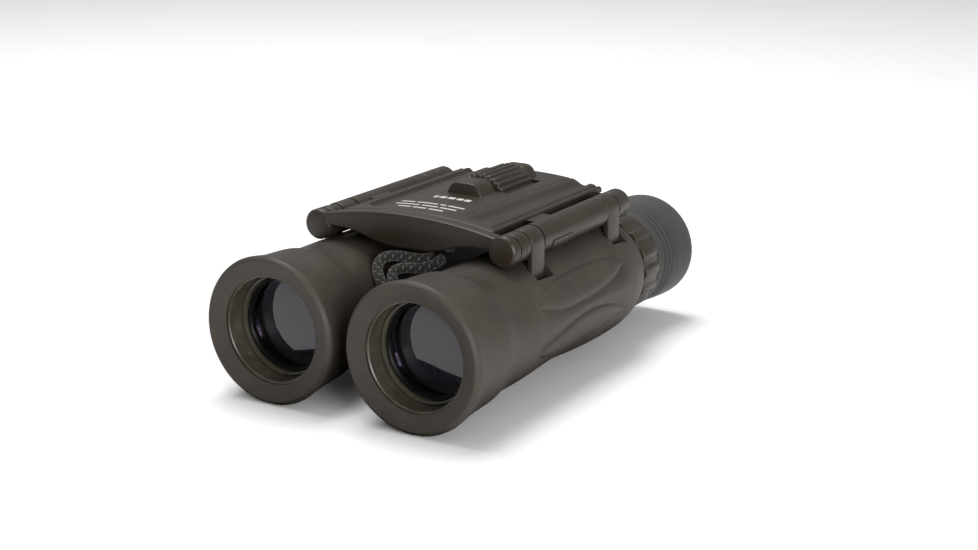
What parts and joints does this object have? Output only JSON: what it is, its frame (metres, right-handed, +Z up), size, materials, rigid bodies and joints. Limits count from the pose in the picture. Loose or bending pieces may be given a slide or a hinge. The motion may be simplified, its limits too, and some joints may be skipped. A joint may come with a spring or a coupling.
{
  "type": "binoculars",
  "caption": "Folding pocket binoculars with rubber-armoured barrels hinged on a flat bridge, a centre focus wheel, a dioptre ring and a braided neck cord.",
  "frame": {"origin": "middle of the outline at its lowest level, with the barrels folded together and the cord left out", "axes": "+Y from the objectives to the eyepieces, +X the right barrel as seen from the eyepieces' side looking forward, +Z up through the bridge"},
  "size_m": [0.0953, 0.1378, 0.044],
  "materials": {
    "armour_rubber": "matte textured rubber armour",
    "bridge_plastic": "fine satin moulded plastic",
    "bore_plastic": "semi-gloss dark moulded plastic",
    "black_metal": "black anodised aluminium",
    "steel": "turned steel",
    "brass": "machined brass",
    "coated_glass": "coated optical glass",
    "prism_glass": "clear optical glass",
    "cup_rubber": "soft matte rubber",
    "cord_braid": "tight polyester braid"
  },
  "bodies": {
    "bridge": {"bridge_frame": "bridge_plastic", "top_cover": "bridge_plastic", "hinge_pin_right": "steel", "hinge_pin_left": "steel", "hinge_bush_right": "brass", "hinge_bush_left": "brass", "hinge_washer_right": "bridge_plastic", "hinge_washer_left": "bridge_plastic", "cover_screw_right": "steel", "cover_screw_left": "steel", "cord_bar": "steel", "cord_loop": "cord_braid", "neck_cord_out": "cord_braid", "neck_cord_back": "cord_braid", "cord_hank": "cord_braid", "cord_tie": "cup_rubber"},
    "barrel_right": {"armour_right": "armour_rubber", "barrel_tube_right": "bore_plastic", "objective_cell_right": "bore_plastic", "retaining_ring_right": "black_metal", "objective_lens_right": "coated_glass", "prism_frame_right": "bore_plastic", "half_prism_right": "prism_glass", "roof_prism_right": "prism_glass", "eyepiece_tube_right": "bore_plastic", "eyecup_right": "cup_rubber", "front_arm_right": "bridge_plastic", "rear_arm_right": "bridge_plastic"},
    "barrel_left": {"armour_left": "armour_rubber", "barrel_tube_left": "bore_plastic", "objective_cell_left": "bore_plastic", "retaining_ring_left": "black_metal", "objective_lens_left": "coated_glass", "prism_frame_left": "bore_plastic", "half_prism_left": "prism_glass", "roof_prism_left": "prism_glass", "eyepiece_tube_left": "bore_plastic", "eyecup_left": "cup_rubber", "front_arm_left": "bridge_plastic", "rear_arm_left": "bridge_plastic", "eyepiece_cell_left": "black_metal", "field_lens_left": "prism_glass", "eye_lens_left": "coated_glass", "eyepiece_collar_left": "bridge_plastic"},
    "focus_wheel": {"focus_wheel": "bridge_plastic", "focus_shaft": "steel"},
    "focus_carriage": {"focus_carriage": "brass"},
    "focus_right": {"focus_cell_right": "black_metal", "focus_lens_right": "prism_glass", "focus_slider_right": "brass"},
    "focus_left": {"focus_cell_left": "black_metal", "focus_lens_left": "prism_glass", "focus_slider_left": "brass"},
    "dioptre_ring": {"dioptre_ring": "bridge_plastic"},
    "eyepiece_right": {"eyepiece_cell_right": "black_metal", "field_lens_right": "prism_glass", "eye_lens_right": "coated_glass"}
  },
  "joints": [
    {"name": "fold_right", "type": "hinge", "parent": "bridge", "child": "barrel_right", "pos_m": [0.025, -0.0285, 0.0351], "axis": [0, -1, 0], "range_deg": [0, 58]},
    {"name": "fold_left", "type": "hinge", "parent": "bridge", "child": "barrel_left", "pos_m": [-0.025, -0.0285, 0.0351], "axis": [0, 1, 0], "range_deg": [0, 58]},
    {"name": "focus_turn", "type": "hinge", "parent": "bridge", "child": "focus_wheel", "pos_m": [0, 0.0035, 0.0364], "axis": [0, 1, 0], "range_deg": [-165, 165]},
    {"name": "carriage_slide", "type": "slide", "parent": "bridge", "child": "focus_carriage", "axis": [0, 1, 0], "range_m": [-0.0015, 0.0015]},
    {"name": "focus_slide_right", "type": "slide", "parent": "barrel_right", "child": "focus_right", "axis": [0, 1, 0], "range_m": [-0.0015, 0.0015]},
    {"name": "focus_slide_left", "type": "slide", "parent": "barrel_left", "child": "focus_left", "axis": [0, 1, 0], "range_m": [-0.0015, 0.0015]},
    {"name": "dioptre_turn", "type": "hinge", "parent": "barrel_right", "child": "dioptre_ring", "pos_m": [0.01908, 0.0305, 0.0172], "axis": [0, 1, 0], "range_deg": [-60, 60]},
    {"name": "dioptre_slide", "type": "slide", "parent": "barrel_right", "child": "eyepiece_right", "axis": [0, 1, 0], "range_m": [-0.0008, 0.0008]}
  ],
  "couplings": [
    {"joint": "carriage_slide", "follows": "focus_turn", "m_per_rad": 0.00052},
    {"joint": "focus_slide_right", "follows": "focus_turn", "m_per_rad": 0.00052},
    {"joint": "focus_slide_left", "follows": "focus_turn", "m_per_rad": 0.00052},
    {"joint": "dioptre_slide", "follows": "dioptre_turn", "m_per_rad": 0.00076}
  ]
}
